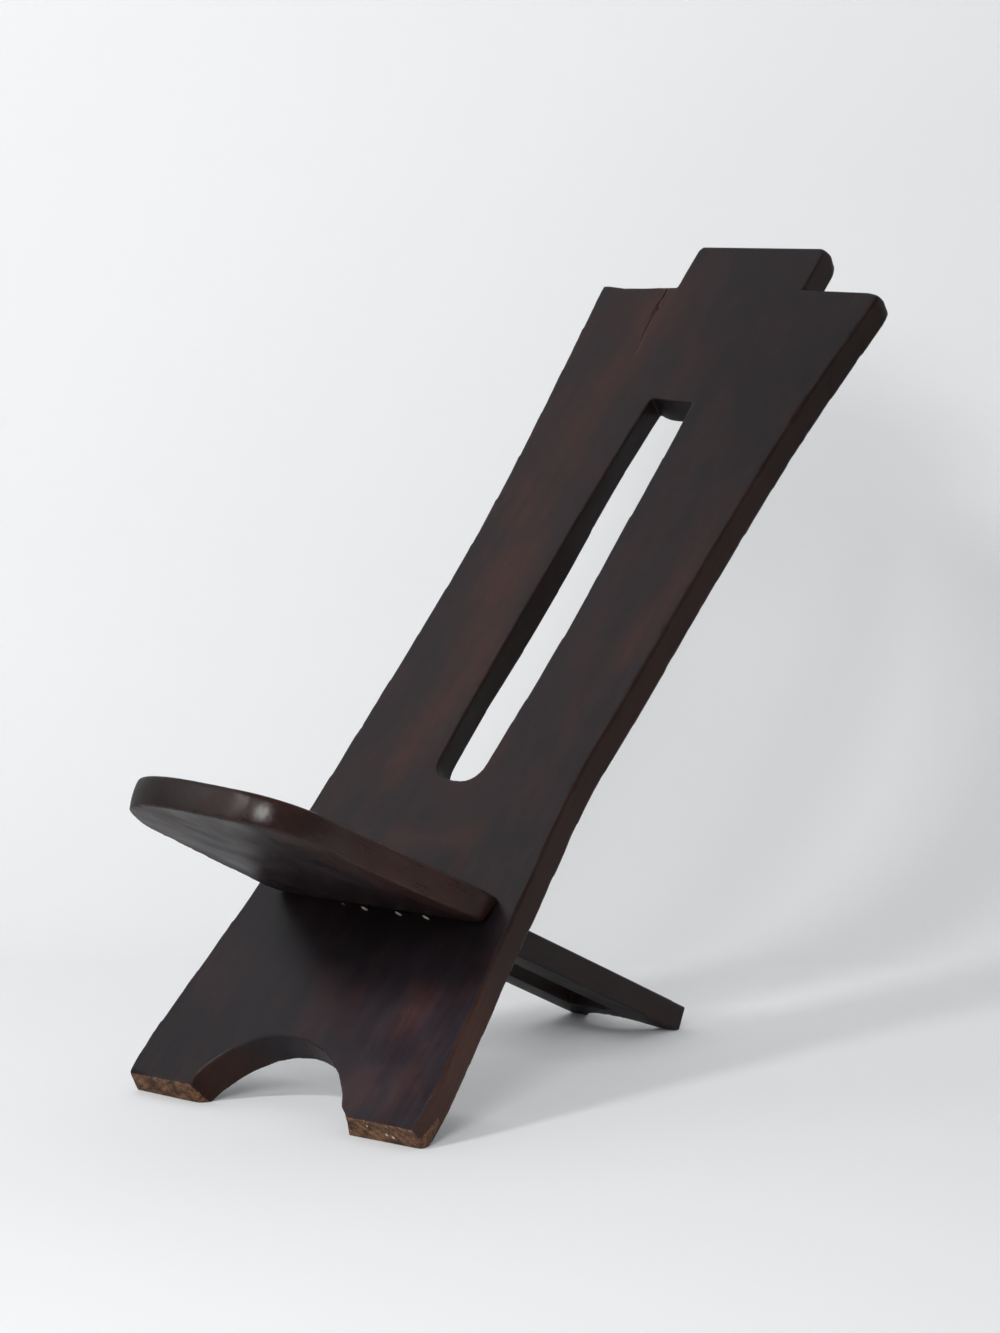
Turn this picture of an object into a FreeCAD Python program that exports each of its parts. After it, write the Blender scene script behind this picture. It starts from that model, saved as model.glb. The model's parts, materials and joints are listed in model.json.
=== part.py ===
import FreeCAD, Part
import os
import Sketcher

# A low reclining chair of two hardwood planks that slot together. The back plank leans on
# its arched foot. The seat plank's long tail goes through a slanted mortise in the back
# plank and down to the floor behind it, and its shoulders stop on the back's front face.
# The frame has X across the chair, Y from the front to the rear and Z up, with its origin
# on the floor, midway between the front of the seat and the top of the back.

# Driving sizes in millimetres, and two slopes in degrees above the floor
SIZES = (
    ("back_lean", 44.8, "slope of the back plank"),
    ("back_thickness", 26.0, "thickness of the back plank"),
    ("back_edge_radius", 2.2, "worn rounding of the back plank's long edges"),
    ("foot_half_width", 151.0, "half the width across the two front feet"),
    ("foot_arch_half_width", 82.0, "half the width of the arch between the front feet"),
    ("foot_arch_height", 60.0, "height of that arch along the plank"),
    ("foot_wear", 2.4, "depth of the corner worn flat under the front feet"),
    ("waist_half_width", 122.5, "half the width of the back plank at its waist"),
    ("waist_height", 430.0, "feet to waist along the plank"),
    ("shoulder_half_width", 150.0, "half the width across the shoulders"),
    ("shoulder_height", 880.0, "feet to shoulders along the plank"),
    ("crest_half_width", 68.0, "half the width of the crest tab"),
    ("crest_height", 51.0, "height of the crest tab above the shoulders"),
    ("slot_top", 746.0, "feet to the square top of the long slot"),
    ("slot_top_half_width", 24.6, "half the slot's width at its top"),
    ("slot_middle", 500.0, "feet to the widest part of the slot"),
    ("slot_middle_half_width", 28.2, "half the slot's width there"),
    ("slot_end_radius", 25.0, "radius of the slot's round lower end"),
    ("slot_bottom", 318.0, "feet to the lowest point of the slot"),
    ("seat_height_mark", 190.4, "feet to the seat's underside, up the back's front face"),
    ("mortise_clearance", 0.6, "play around the tail in the mortise"),
    ("seat_slope", 24.8, "slope of the seat plank"),
    ("board_depth", 270.0, "back's front face to the front of the seat"),
    ("board_rear_half_width", 113.0, "half the seat's width at its shoulders"),
    ("nose_half_width", 99.2, "half the seat's width where its round front starts"),
    ("nose_depth", 90.0, "depth of the round front"),
    ("board_thickness", 25.6, "thickness of the seat plank at its front"),
    ("tail_end_thickness", 22.4, "thickness of the seat plank at the tail's end"),
    ("rim_top_radius", 3.6, "rounding of the seat's upper rim"),
    ("rim_lower_radius", 1.6, "rounding of the seat's lower rim"),
    ("shoulder_gap", 0.3, "gap between the seat's shoulders and the back plank"),
    ("tail_half_width", 58.4, "half the width of the tail"),
    ("tail_edge_radius", 1.5, "worn rounding of the tail's long edges"),
    ("tail_arch_half_width", 42.0, "half the width of the arch in the tail's end"),
    ("tail_arch_depth", 27.0, "depth of that arch along the tail"),
    ("tail_wear", 2.0, "depth of the corner worn flat under the tail"),
    ("tail_slot_half_width", 24.6, "half the width of the slot in the tail"),
    ("tail_slot_start", 64.0, "back's front face to the front end of that slot"),
    ("tail_slot_bridge", 54.0, "solid wood between that slot and the tail's end"),
    ("overrun", 20.0, "how far every cut runs past the wood"),
)

# Points nearer than this count as one place
TOUCHING = 1e-3

# Measures that follow from the driving sizes, as formulas
CREST_TOP = "(Sizes.shoulder_height + Sizes.crest_height)"
SLANT = "(Sizes.back_lean + Sizes.seat_slope)"
MARK_RISE = "(Sizes.seat_height_mark * sin(Sizes.back_lean) + Sizes.back_thickness * cos(Sizes.back_lean))"
MARK_SETBACK = "(Sizes.seat_height_mark * cos(Sizes.back_lean) - Sizes.back_thickness * sin(Sizes.back_lean))"
TAIL_LENGTH = "((" + MARK_RISE + " - Sizes.foot_wear + Sizes.tail_wear) / sin(Sizes.seat_slope))"
SEAT_LENGTH = "(Sizes.board_depth + " + TAIL_LENGTH + ")"
TAPER = "(Sizes.board_thickness - Sizes.tail_end_thickness)"
MORTISED_THICKNESS = "(Sizes.tail_end_thickness + " + TAPER + " * " + TAIL_LENGTH + " / " + SEAT_LENGTH + ")"
REACH_FRONT = "(" + MARK_SETBACK + " - Sizes.board_depth * cos(Sizes.seat_slope))"
REACH_REAR = "(" + CREST_TOP + " * cos(Sizes.back_lean))"
ORIGIN_SHIFT = "((" + REACH_FRONT + " + " + REACH_REAR + ") / 2)"


def make_sizes(doc):
    """Writes the driving sizes into the sheet."""
    sheet = doc.addObject("Spreadsheet::Sheet", "Sizes")
    for row, (alias, value, meaning) in enumerate(SIZES, start=1):
        sheet.set("A" + str(row), alias)
        sheet.set("B" + str(row), str(value))
        sheet.set("C" + str(row), meaning)
        sheet.setAlias("B" + str(row), alias)
    doc.recompute()
    return sheet


def origin_plane(body, role):
    """Finds one of a body's own origin planes."""
    for feature in body.Origin.OriginFeatures:
        if feature.Role == role:
            return feature
    raise ValueError("no plane " + role)


def tie(sketch, constraint, formula):
    """Adds a constraint whose size follows a formula of the sheet."""
    index = sketch.addConstraint(constraint)
    if formula != "0":
        sketch.setExpression("Constraints[" + str(index) + "]", formula)


def tie_point(sketch, piece, end, across, along):
    """Holds one point of a sketch at the place that two formulas give."""
    x = sketch.evalExpression(across)
    y = sketch.evalExpression(along)
    tie(sketch, Sketcher.Constraint("DistanceX", -1, 1, piece, end, x), across)
    tie(sketch, Sketcher.Constraint("DistanceY", -1, 1, piece, end, y), along)


def draw(body, name, role, outline):
    """Draws a closed outline on an origin plane. A stop of two formulas ends a straight
    line, and a stop of four ends an arc that passes through the place its first two give."""
    sketch = body.newObject("Sketcher::SketchObject", name)
    sketch.AttachmentSupport = [(origin_plane(body, role), "")]
    sketch.MapMode = "FlatFace"

    def place(across, along):
        return FreeCAD.Vector(sketch.evalExpression(across), sketch.evalExpression(along), 0)

    start = outline[-1][-2:]
    ends = []
    for stop in outline:
        begin = place(*start)
        finish = place(*stop[-2:])
        if len(stop) == 2:
            piece = sketch.addGeometry(Part.LineSegment(begin, finish), False)
        else:
            arc = Part.Arc(begin, place(*stop[:2]), finish)
            piece = sketch.addGeometry(arc, False)
            via = sketch.addGeometry(Part.Point(place(*stop[:2])), True)
            tie_point(sketch, via, 1, *stop[:2])
            sketch.addConstraint(Sketcher.Constraint("PointOnObject", via, 1, piece))
        from_start = sketch.getPoint(piece, 1).distanceToPoint(begin)
        from_end = sketch.getPoint(piece, 2).distanceToPoint(begin)
        first, last = (1, 2) if from_start <= from_end else (2, 1)
        tie_point(sketch, piece, last, *stop[-2:])
        ends.append((piece, first, last))
        start = stop[-2:]
    for (before, _, last), (after, first, _) in zip(ends[-1:] + ends[:-1], ends):
        sketch.addConstraint(Sketcher.Constraint("Coincident", before, last, after, first))
    return sketch


def pad(body, name, sketch, length):
    """Thickens a sketch along its own normal."""
    feature = body.newObject("PartDesign::Pad", name)
    feature.Profile = sketch
    feature.setExpression("Length", length)
    body.Document.recompute()
    return feature


def cut(body, name, sketch, length):
    """Cuts a sketch through the wood, the same way to both sides of its plane."""
    before = body.Tip.Shape.Volume
    feature = body.newObject("PartDesign::Pocket", name)
    feature.Profile = sketch
    feature.SideType = "Symmetric"
    feature.setExpression("Length", length)
    body.Document.recompute()
    if not feature.Shape.Volume < before:
        raise ValueError(name + " cuts nothing")
    return feature


def is_level(middle, *heights):
    """Says whether an edge's middle lies at one of a few heights over the plank's lower face."""
    return any(abs(middle.z - height) < TOUCHING for height in heights)


def round_edges(body, name, radius, chosen):
    """Rounds each edge of the body's last shape whose middle passes a test."""
    base = body.Tip
    names = []
    for number, edge in enumerate(base.Shape.Edges, start=1):
        if chosen(edge.valueAt((edge.FirstParameter + edge.LastParameter) / 2)):
            names.append("Edge" + str(number))
    feature = body.newObject("PartDesign::Fillet", name)
    feature.Base = (base, names)
    feature.setExpression("Radius", radius)
    body.Document.recompute()
    if feature.Shape.isNull() or not feature.Shape.isValid():
        raise ValueError(name + " can't be rounded")
    return feature


def set_place(body, turn, setback, rise):
    """Tilts a body about X and sets it at its place, behind the origin and above the floor."""
    spot = "create(<<vector>>; 0; " + setback + " - " + ORIGIN_SHIFT + "; " + rise + ")"
    tilt = "create(<<rotation>>; create(<<vector>>; 1; 0; 0); " + turn + ")"
    body.setExpression("Placement", "create(<<placement>>; " + spot + "; " + tilt + ")")


def make_back_plank(doc):
    """The back plank. Its own X runs across, Y up the plank from its feet, and Z from its
    rear face to its front face."""
    body = doc.addObject("PartDesign::Body", "BackPlank")
    body.Label = "back_plank"
    through = "2 * (Sizes.back_thickness + Sizes.overrun)"
    across_all = "2 * (Sizes.foot_half_width + Sizes.shoulder_half_width + Sizes.overrun)"

    # Outline: arched foot, waisted sides, shoulders and crest tab
    outline = draw(body, "BackOutline", "XY_Plane", (
        ("Sizes.foot_half_width", "0"),
        ("Sizes.waist_half_width", "Sizes.waist_height",
         "Sizes.shoulder_half_width", "Sizes.shoulder_height"),
        ("Sizes.crest_half_width", "Sizes.shoulder_height"),
        ("Sizes.crest_half_width", CREST_TOP),
        ("-Sizes.crest_half_width", CREST_TOP),
        ("-Sizes.crest_half_width", "Sizes.shoulder_height"),
        ("-Sizes.shoulder_half_width", "Sizes.shoulder_height"),
        ("-Sizes.waist_half_width", "Sizes.waist_height", "-Sizes.foot_half_width", "0"),
        ("-Sizes.foot_arch_half_width", "0"),
        ("0", "Sizes.foot_arch_height", "Sizes.foot_arch_half_width", "0"),
    ))
    pad(body, "BackBoard", outline, "Sizes.back_thickness")

    # Long slot with a square top and a round lower end
    slot_end = "(Sizes.slot_bottom + Sizes.slot_end_radius)"
    slot = draw(body, "SlotOutline", "XY_Plane", (
        ("-Sizes.slot_top_half_width", "Sizes.slot_top"),
        ("-Sizes.slot_middle_half_width", "Sizes.slot_middle", "-Sizes.slot_end_radius", slot_end),
        ("0", "Sizes.slot_bottom", "Sizes.slot_end_radius", slot_end),
        ("Sizes.slot_middle_half_width", "Sizes.slot_middle", "Sizes.slot_top_half_width", "Sizes.slot_top"),
    ))
    cut(body, "LongSlot", slot, through)

    # Worn edges round both faces and the slot, before the mortise and the worn feet are cut
    front = body.evalExpression("Sizes.back_thickness")
    round_edges(body, "BackWornEdges", "Sizes.back_edge_radius", lambda middle: is_level(middle, 0, front))

    # Mortise, slanted along the seat plank
    lower = "(Sizes.seat_height_mark - Sizes.mortise_clearance / sin" + SLANT + ")"
    opening = "((" + MORTISED_THICKNESS + " + 2 * Sizes.mortise_clearance) / sin" + SLANT + ")"
    front_lower = "(" + lower + " - Sizes.overrun / tan" + SLANT + ")"
    rear_lower = "(" + lower + " + (Sizes.back_thickness + Sizes.overrun) / tan" + SLANT + ")"
    front_face = "Sizes.back_thickness + Sizes.overrun"
    mortise = draw(body, "MortiseSide", "YZ_Plane", (
        (front_lower, front_face),
        (front_lower + " + " + opening, front_face),
        (rear_lower + " + " + opening, "-Sizes.overrun"),
        (rear_lower, "-Sizes.overrun"),
    ))
    cut(body, "Mortise", mortise, "2 * (Sizes.tail_half_width + Sizes.mortise_clearance)")

    # Feet worn flat on the floor
    worn_run = "(Sizes.foot_wear / sin(Sizes.back_lean))"
    worn_end = "(Sizes.foot_wear / cos(Sizes.back_lean))"
    floor = draw(body, "FootWearSide", "YZ_Plane", (
        (worn_run, "0"),
        ("0", worn_end),
        ("-Sizes.overrun", worn_end + " + Sizes.overrun * tan(Sizes.back_lean)"),
        ("-Sizes.overrun", "-Sizes.overrun"),
        (worn_run, "-Sizes.overrun"),
    ))
    cut(body, "FootWear", floor, across_all)
    set_place(body, "Sizes.back_lean", "0", "-Sizes.foot_wear")
    return body


def make_seat_plank(doc):
    """The seat plank. Its own X runs across, Y down its length from the back plank's front
    face to the tail's end, and Z up from its underside."""
    body = doc.addObject("PartDesign::Body", "SeatPlank")
    body.Label = "seat_plank"
    through = "2 * (Sizes.board_thickness + Sizes.overrun)"
    across_all = "2 * (Sizes.board_rear_half_width + Sizes.overrun)"
    top_lean = "(Sizes.board_thickness / tan" + SLANT + ")"

    # Board: flared sides and a round front
    nose = "(Sizes.nose_depth - Sizes.board_depth)"
    board = draw(body, "BoardOutline", "XY_Plane", (
        ("Sizes.board_rear_half_width", top_lean),
        ("-Sizes.board_rear_half_width", top_lean),
        ("-Sizes.nose_half_width", nose),
        ("0", "-Sizes.board_depth", "Sizes.nose_half_width", nose),
    ))
    pad(body, "Board", board, "Sizes.board_thickness")

    # Shoulders, slanted to lie on the back plank's front face
    gap = "(Sizes.shoulder_gap / sin" + SLANT + ")"
    below = "(-Sizes.overrun / tan" + SLANT + " - " + gap + ")"
    above = "((Sizes.board_thickness + Sizes.overrun) / tan" + SLANT + " - " + gap + ")"
    shoulders = draw(body, "ShoulderSide", "YZ_Plane", (
        (below, "-Sizes.overrun"),
        (above, "Sizes.board_thickness + Sizes.overrun"),
        (above + " + Sizes.overrun", "Sizes.board_thickness + Sizes.overrun"),
        (above + " + Sizes.overrun", "-Sizes.overrun"),
    ))
    cut(body, "Shoulders", shoulders, across_all)

    # Tail, with an arch between its two feet
    tail = draw(body, "TailOutline", "XY_Plane", (
        ("-Sizes.tail_half_width", "-Sizes.overrun"),
        ("Sizes.tail_half_width", "-Sizes.overrun"),
        ("Sizes.tail_half_width", TAIL_LENGTH),
        ("Sizes.tail_arch_half_width", TAIL_LENGTH),
        ("0", TAIL_LENGTH + " - Sizes.tail_arch_depth", "-Sizes.tail_arch_half_width", TAIL_LENGTH),
        ("-Sizes.tail_half_width", TAIL_LENGTH),
    ))
    pad(body, "Tail", tail, "Sizes.board_thickness")

    # Upper face, tapering from the front of the seat to the tail's end
    top = draw(body, "TaperSide", "YZ_Plane", (
        ("-Sizes.board_depth", "Sizes.board_thickness"),
        (TAIL_LENGTH, "Sizes.tail_end_thickness"),
        (TAIL_LENGTH + " + Sizes.overrun", "Sizes.tail_end_thickness"),
        (TAIL_LENGTH + " + Sizes.overrun", "Sizes.board_thickness + Sizes.overrun"),
        ("-Sizes.board_depth", "Sizes.board_thickness + Sizes.overrun"),
    ))
    cut(body, "Taper", top, across_all)

    # Slot in the tail, behind the back plank
    slot_end = TAIL_LENGTH + " - Sizes.tail_slot_bridge"
    slot = draw(body, "TailSlotOutline", "XY_Plane", (
        ("-Sizes.tail_slot_half_width", "Sizes.tail_slot_start"),
        ("Sizes.tail_slot_half_width", "Sizes.tail_slot_start"),
        ("Sizes.tail_slot_half_width", slot_end),
        ("-Sizes.tail_slot_half_width", slot_end),
    ))
    cut(body, "TailSlot", slot, through)

    # Worn edges: the seat's rim, more on its upper side, and the tail's long edges
    thinnest = body.evalExpression("Sizes.tail_end_thickness")
    thickest = body.evalExpression("Sizes.board_thickness")
    tail_side = body.evalExpression("Sizes.tail_half_width")
    tail_end = body.evalExpression(TAIL_LENGTH)

    def is_upper_rim(middle):
        return middle.y < -thickest and middle.z > thinnest

    def is_lower_rim(middle):
        return middle.y < -thickest and is_level(middle, 0)

    def is_tail_edge(middle):
        return abs(abs(middle.x) - tail_side) < TOUCHING and thickest < middle.y < tail_end - TOUCHING

    round_edges(body, "UpperRim", "Sizes.rim_top_radius", is_upper_rim)
    round_edges(body, "LowerRim", "Sizes.rim_lower_radius", is_lower_rim)
    round_edges(body, "TailWornEdges", "Sizes.tail_edge_radius", is_tail_edge)

    # Tail worn flat on the floor
    worn_run = "(Sizes.tail_wear / sin(Sizes.seat_slope))"
    worn_end = "(Sizes.tail_wear / cos(Sizes.seat_slope))"
    floor = draw(body, "TailWearSide", "YZ_Plane", (
        (TAIL_LENGTH + " - " + worn_run, "0"),
        (TAIL_LENGTH, worn_end),
        (TAIL_LENGTH + " + Sizes.overrun", worn_end + " + Sizes.overrun * tan(Sizes.seat_slope)"),
        (TAIL_LENGTH + " + Sizes.overrun", "-Sizes.overrun"),
        (TAIL_LENGTH + " - " + worn_run, "-Sizes.overrun"),
    ))
    cut(body, "TailWear", floor, across_all)
    set_place(body, "-Sizes.seat_slope", MARK_SETBACK, MARK_RISE + " - Sizes.foot_wear")
    return body


def check(doc, bodies):
    """Stops if any object failed or any plank isn't one valid solid."""
    doc.recompute()
    for item in doc.Objects:
        if "Invalid" in item.State or "Error" in item.State:
            raise ValueError(item.Name + " failed: " + str(item.State))
    for body in bodies:
        shape = body.Shape
        if shape.isNull() or not shape.isValid() or len(shape.Solids) != 1:
            raise ValueError(body.Label + " isn't one valid solid")


doc = FreeCAD.newDocument("birthing_chair")
make_sizes(doc)
bodies = (make_back_plank(doc), make_seat_plank(doc))
check(doc, bodies)
os.makedirs("parts", exist_ok=True)
for body in bodies:
    body.Shape.exportStep("parts/" + body.Label + ".step")
    box = body.Shape.optimalBoundingBox()
    print(body.Label, "volume", round(body.Shape.Volume), "mm3, box", box)
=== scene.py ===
"""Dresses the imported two-plank chair: carved and worn hardwood, a dark stain, and a pale studio.

Each plank is carved in its own frame: X across it, Y up the back plank from its feet or down the
seat plank from its nose, and Z through its thickness from its rear face or its underside. Lengths
are metres. Tables of places are millimetres, and MM turns them into metres where they are read.
"""

import itertools
import json
from math import cos, pi, radians, sin

import bmesh
import bpy
import numpy as np
from bpy.props import FloatProperty, FloatVectorProperty, IntProperty, PointerProperty
from mathutils import Matrix, Vector


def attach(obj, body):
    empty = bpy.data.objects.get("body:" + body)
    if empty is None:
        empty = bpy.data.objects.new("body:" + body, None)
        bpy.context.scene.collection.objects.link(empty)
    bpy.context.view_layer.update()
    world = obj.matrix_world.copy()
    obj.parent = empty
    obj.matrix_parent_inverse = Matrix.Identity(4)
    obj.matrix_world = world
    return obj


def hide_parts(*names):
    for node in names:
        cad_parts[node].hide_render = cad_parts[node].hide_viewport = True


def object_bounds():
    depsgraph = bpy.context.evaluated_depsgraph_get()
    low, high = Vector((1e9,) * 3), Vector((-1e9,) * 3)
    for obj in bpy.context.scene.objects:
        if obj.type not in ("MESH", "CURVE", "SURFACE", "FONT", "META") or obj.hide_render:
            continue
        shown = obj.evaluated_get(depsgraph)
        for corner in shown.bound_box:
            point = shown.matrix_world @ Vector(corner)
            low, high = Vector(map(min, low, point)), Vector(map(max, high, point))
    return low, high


bl_info = {
    "name": "Two-Plank Chair",
    "version": (1, 0, 0),
    "blender": (4, 5, 0),
    "location": "View3D > Sidebar > Chair",
    "description": "Carves and stains a chair of two slotted planks around its packed frame",
    "category": "Object",
}

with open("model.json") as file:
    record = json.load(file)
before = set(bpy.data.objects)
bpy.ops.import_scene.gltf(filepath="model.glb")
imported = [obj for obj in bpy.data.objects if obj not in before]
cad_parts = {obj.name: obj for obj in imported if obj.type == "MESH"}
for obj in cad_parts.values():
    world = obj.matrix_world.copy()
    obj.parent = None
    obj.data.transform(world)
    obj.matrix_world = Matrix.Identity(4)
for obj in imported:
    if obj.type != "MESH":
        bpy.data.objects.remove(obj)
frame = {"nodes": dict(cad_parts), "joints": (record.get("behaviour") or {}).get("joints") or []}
CAD_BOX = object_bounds()
MM = 0.001
BACK = "back_plank"
SEAT = "seat_plank"
SLIDE_AXIS = Vector(frame["joints"][0]["axis"])

# Back plank: the places that its carving follows
BACK_LENGTH, BACK_THICKNESS, HALF_SPAN = 931 * MM, 26 * MM, 150.9 * MM
SIDE_INNER, SIDE_OUTER = 70 * MM, 118 * MM
SLOT_BOTTOM, SLOT_TOP, SLOT_HALF_WIDTH = 318 * MM, 746 * MM, 27 * MM
SLOT_NARROW, SLOT_FADE = 525 * MM, 14 * MM
SHOULDER_HEIGHT, SHOULDER_INNER, SHOULDER_OUTER = 880 * MM, 70 * MM, 150 * MM
ARCH_CENTRE, ARCH_RADIUS, ARCH_FADE = -26 * MM, 86 * MM, 22 * MM
MORTISE_LOW, MORTISE_HIGH, MORTISE_HALF_WIDTH = 180 * MM, 262 * MM, 62 * MM

# How far the sides, the crest's right side, the toes and the crest's top stand out further
FULLER_SIDES, FULLER_CREST = 2.0 * MM, 1.4 * MM
TOE_REACH, CREST_RISE = 4 * MM, 0.9 * MM

# Swells and hollows of each side: height of the middle, reach, and how far it stands out
LEFT_SWELLS = ((70, 130, 3.4), (380, 70, 1.5), (600, 75, -0.7), (780, 70, 1.2))
RIGHT_SWELLS = ((50, 130, 4.2), (335, 68, -4.8), (725, 85, -2.1))

# Knocked corners of the back plank: place across, up and through it, and reach of the wear
BACK_CORNERS = ((70, 931, 26, 5.5), (70, 931, 4, 6), (-68, 931, 24, 2.5), (152, 880, 26, 6.5),
                (152, 880, 4, 8), (-151, -10, 20, 14), (-84, -8, 8, 10), (151, -8, 8, 10))

# Rounds of smoothing that wear those corners down, and the seat's
BACK_WEAR_ROUNDS, SEAT_WEAR_ROUNDS = 40, 30

# Two cracks that run down from the left shoulder, as places across and up the back
SHOULDER_CRACK = ((-77.6, 881), (-77.0, 868), (-77.6, 858), (-78.5, 849), (-77.8, 838))
SECOND_CRACK = ((-75.4, 856), (-76.2, 846), (-75.2, 827), (-71.4, 808), (-72.4, 796))

# Red wood where the stain is thin, as paths across and up the back
RED_STREAK = ((-78, 878), (-77, 830), (-80, 754), (-84, 690), (-80, 600), (-76, 520))
RED_STILE = ((-70, 560), (-60, 500), (-44, 420), (-60, 330))
RED_PATCHES = (((112, 600), (108, 540), (100, 470)), ((96, 118), (92, 92)), ((-20, 250), (40, 268)))

# Bare wood at the right foot: place up and through it, and half width
BARE_CORNER = ((1, 6, 7), (10, 5.5, 5), (20, 5.5, 3))

# Pale chips in the right foot's end: place across and through it, and reach
END_CHIPS = ((121, 15.5, 1.5), (127, 14.5, 1.5), (103, 21, 1.2))

# Painted light and shade on the back: a painted shadow under the seat, lighter low on the right and at
# the bottom, darker towards the top and its right. Place across and up, reach, and share
PAINTED_LIGHT_AND_SHADE = ((0, 740, 330, -0.08), (125, 800, 130, -0.34), (20, 930, 60, -0.10),
          (120, 50, 80, 1.3), (85, 95, 70, 1.0), (15, 170, 48, -0.5),
          (95, 158, 52, -0.65), (-60, 90, 130, 0.2), (-125, 35, 60, -0.14))

# Splinters on the back's face under the seat: place across and up, and share of the full lift
SPLINTERS = ((-12.3, 187.0, 1.0), (23.8, 187.2, 1.0), (52.2, 187.8, 1.0), (-35.9, 188.0, 0.5))
SPLINTER_SIZE, SPLINTER_STRETCH, SPLINTER_LEAN, SPLINTER_LIFT = 1.15 * MM, 4.2, 0.3, 0.9 * MM

# The patch of finer mesh that holds them: its middle and its reach, across and up
SPLINTER_MIDDLE, SPLINTER_REACH = (8 * MM, 188.5 * MM), (52 * MM, 3.5 * MM)

# Seat plank: the places that its carving follows, and the bulge of its front edge
NOSE_CENTRE, NOSE_INNER, NOSE_OUTER, NOSE_CROWN = 99 * MM, 45 * MM, 95 * MM, 1.2 * MM
BOARD_THICKNESS, TAIL_START = 25.6 * MM, 270 * MM

# The round front against a true arc: turn about its centre in degrees, and how far it stands out
NOSE_OUTLINE = ((-90, -0.8), (-75, -4.2), (-60, -5.8), (-45, -4.6), (-30, -3.0), (-15, -3.0),
                (0, -4.4), (10, -5.6), (20, -5.0), (30, -1.4), (36, 1.6), (42, 4.4),
                (48, 6.6), (54, 8.2), (60, 8.2), (70, 5.6), (80, 2.6), (92, 0))

# Turns that each point of that outline is averaged over, in degrees
NOSE_BLUR = (-7, -3.5, 0, 3.5, 7)

# How far the seat board's rear corners stand out and are pulled forwards
CORNER_OUT, CORNER_FORWARD = 3.5 * MM, 5 * MM

# Knocked corners of the seat: place across, along and through it, and reach of the wear
SEAT_CORNERS = ((113, 268, 2, 10), (113, 268, 12, 9), (113, 268, 23, 8),
                (-113, 268, 2, 9), (-113, 268, 12, 8))

# A scratch under the seat, as places across and along it
SCRATCH = ((47.3, 92), (45.8, 115), (40.7, 142.5))

# Noise: the length of its table, and the primes that scatter its cells over the table
NOISE_TABLE, NOISE_PRIMES = 4096, (73856093, 19349663, 83492791)

# Seeds of the noise that each piece of carving draws
SIDE_SEED, ARCH_SEED, BACK_SEED, NOSE_SEED, SEAT_SEED, BLOTCH_SEED = 11, 21, 31, 41, 51, 61

# Growth rings: their width, and each plank's heart line, across and through it
RING_WIDTH = 0.0065
BACK_HEART, SEAT_HEART = (0.05, -0.16), (-0.04, -0.12)

# Studio: the camera and its frame's height in pixels, the floor and backdrop, and the lamps
CAMERA_PLACE = Vector((1.97872, -2.41014, 0.72888))
FRAME_HEIGHT = 1333
FLOOR_RADIUS = 12.0
SWEEP_DISTANCE, SWEEP_RADIUS, SWEEP_LIFT = 3.86, 0.35, 0.2 * MM
SWEEP_HEIGHT, SWEEP_HALF_WIDTH = 5.0, 5.0
LAMP_AIM = Vector((0, 0, 0.3))
KEY_PLACE = Vector((-0.35, -2.11, 1.82))
PANEL_PLACE, PANEL_SIZE = Vector((-1.5, -0.6, 1.9)), 1.2
FRONT_PLACE, FRONT_SIZE = Vector((1.13, -2.14, 1.43)), 0.65


class ChairCarving(bpy.types.PropertyGroup):
    """Sizes of the carving."""

    voxel: FloatProperty(
        name="Voxel", description="Mesh size before it is thinned", default=1.5 * MM, unit="LENGTH")
    quick_voxel: FloatProperty(
        name="Quick voxel", description="Mesh size for quick looks", default=3 * MM, unit="LENGTH")
    most_triangles: IntProperty(
        name="Most triangles", description="Triangles that a plank keeps", default=185000)
    hewn_depth: FloatProperty(
        name="Hewn depth", description="Depth of the tool marks on the faces",
        default=0.28 * MM, unit="LENGTH")
    edge_wander: FloatProperty(
        name="Edge wander", description="How far a side wanders from its line",
        default=0.25 * MM, unit="LENGTH")
    nick_depth: FloatProperty(
        name="Nick depth", description="Depth of nicks along worn edges",
        default=0.7 * MM, unit="LENGTH")
    crisp: FloatProperty(
        name="Crisp edges", description="How far a packed edge's rounding is filled out",
        default=0.7 * MM, unit="LENGTH")
    crack_width: FloatProperty(
        name="Crack width", description="Width of the crack at the shoulder",
        default=1.2 * MM, unit="LENGTH")
    crack_depth: FloatProperty(
        name="Crack depth", description="Depth of the crack at the shoulder",
        default=5 * MM, unit="LENGTH")


class ChairFinish(bpy.types.PropertyGroup):
    """Colours and gloss of the wood."""

    dark_stain: FloatVectorProperty(
        name="Dark stain", description="Main colour of the stained wood", subtype="COLOR", size=3,
        default=(0.0104, 0.0074, 0.0093))
    red_stain: FloatVectorProperty(
        name="Red stain", description="Colour where the stain is thinner", subtype="COLOR", size=3,
        default=(0.037, 0.0128, 0.0098))
    side_stain: FloatVectorProperty(
        name="Side stain", description="Colour of the sawn sides", subtype="COLOR", size=3,
        default=(0.0240, 0.0085, 0.0050))
    rubbed: FloatVectorProperty(
        name="Rubbed edge", description="Colour of rubbed edges", subtype="COLOR", size=3,
        default=(0.060, 0.036, 0.026))
    bare_wood: FloatVectorProperty(
        name="Bare wood", description="Colour of wood with no stain left", subtype="COLOR", size=3,
        default=(0.155, 0.078, 0.042))
    splinter: FloatVectorProperty(
        name="Splinter", description="Colour of fresh splinters", subtype="COLOR", size=3,
        default=(0.60, 0.54, 0.46))
    back_roughness: FloatProperty(
        name="Back roughness", description="Roughness of the back's finish",
        default=0.36, min=0, max=1)
    seat_roughness: FloatProperty(
        name="Seat roughness", description="Roughness of the seat's rubbed finish",
        default=0.19, min=0, max=1)
    back_shine: FloatProperty(
        name="Back shine", description="Strength of the back's reflections",
        default=0.19, min=0, max=1)
    seat_shine: FloatProperty(
        name="Seat shine", description="Strength of the seat's reflections",
        default=0.28, min=0, max=1)


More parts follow.
